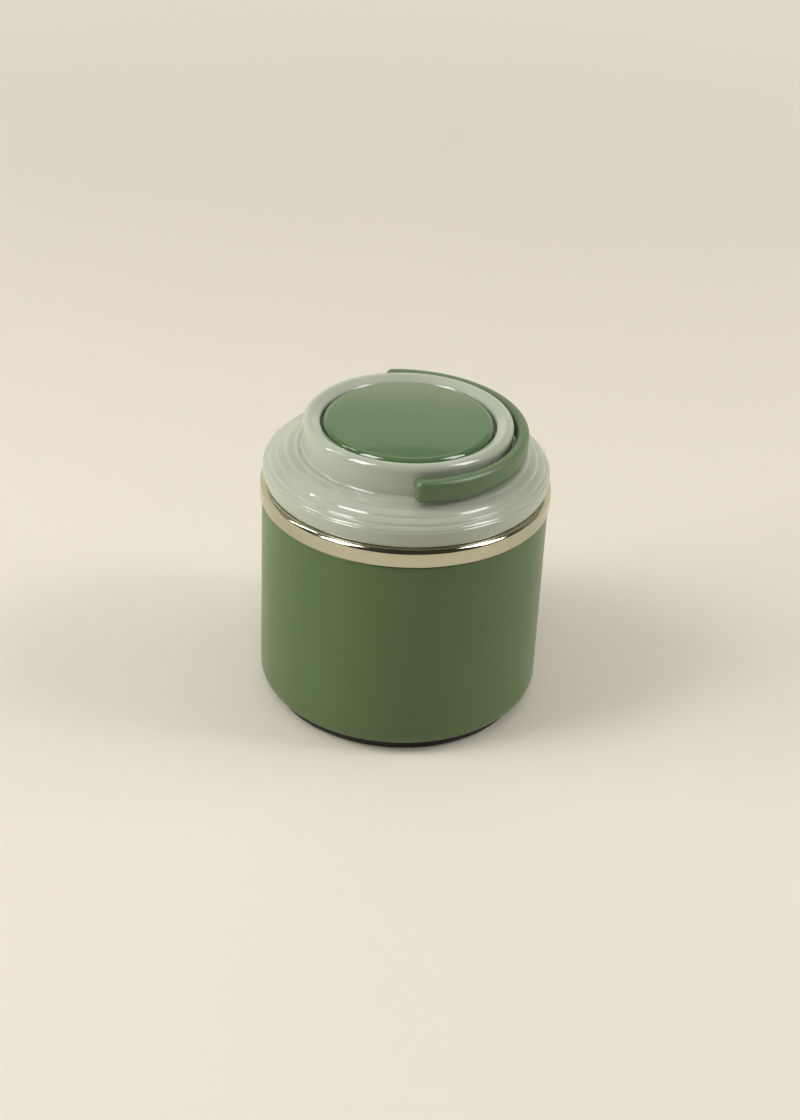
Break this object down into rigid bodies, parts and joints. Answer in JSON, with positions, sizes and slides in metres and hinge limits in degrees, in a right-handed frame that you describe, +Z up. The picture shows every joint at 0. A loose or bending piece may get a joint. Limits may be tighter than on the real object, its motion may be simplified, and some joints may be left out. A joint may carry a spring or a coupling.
{
  "type": "insulated food jar",
  "caption": "Short wide vacuum food jar: satin green shell, bright steel collar, and a terraced sage screw lid with a glossy inset disc and a swinging bow handle.",
  "frame": {"origin": "on the floor, under the middle of the jar", "axes": "+Z up along the jar's axis; +X towards the side the handle is folded down to; Y along the handle's pivots"},
  "size_m": [0.108, 0.108, 0.114],
  "materials": {
    "outer_shell": "fine satin green plastic",
    "foot_ring": "dark matte silicone",
    "flask_cushion": "off-white closed-cell foam",
    "jacket_base": "pressed stainless steel",
    "vacuum_jacket": "drawn stainless steel",
    "getter": "grey sintered metal in a steel cup",
    "vacuum_seal": "dark glass solder",
    "heat_foil": "bright copper-coloured foil",
    "inner_bowl": "electropolished stainless steel",
    "collar_seal": "translucent silicone",
    "steel_collar": "polished stainless steel",
    "neck_ring": "off-white polypropylene",
    "lid_gasket": "translucent silicone",
    "inner_cap": "off-white polypropylene",
    "vent_valve": "translucent silicone",
    "lid_insulation": "white foam",
    "lid_shell": "glossy sage-green plastic",
    "top_disc": "high-gloss green plastic",
    "carry_handle": "semi-gloss green plastic",
    "pivot_pins": "turned stainless steel"
  },
  "bodies": {
    "jar": {"outer_shell": "outer_shell", "foot_ring": "foot_ring", "flask_cushion": "flask_cushion", "jacket_base": "jacket_base", "vacuum_jacket": "vacuum_jacket", "getter": "getter", "vacuum_seal": "vacuum_seal", "heat_foil": "heat_foil", "inner_bowl": "inner_bowl", "collar_seal": "collar_seal", "steel_collar": "steel_collar", "neck_ring": "neck_ring"},
    "lid_seal": {"lid_gasket": "lid_gasket"},
    "lid": {"inner_cap": "inner_cap", "vent_valve": "vent_valve", "lid_insulation": "lid_insulation", "lid_shell": "lid_shell", "top_disc": "top_disc"},
    "handle": {"carry_handle": "carry_handle", "pivot_pins": "pivot_pins"}
  },
  "joints": [
    {"name": "lid_lift", "type": "slide", "parent": "jar", "child": "lid_seal", "axis": [0, 0, 1], "range_m": [0, 0.06]},
    {"name": "lid_turn", "type": "hinge", "parent": "lid_seal", "child": "lid", "pos_m": [0, 0, 0.0968], "axis": [0, 0, 1], "range_deg": [0, 360]},
    {"name": "handle_swing", "type": "hinge", "parent": "lid", "child": "handle", "pos_m": [0, 0, 0.1076], "axis": [0, -1, 0], "range_deg": [0, 180]}
  ]
}
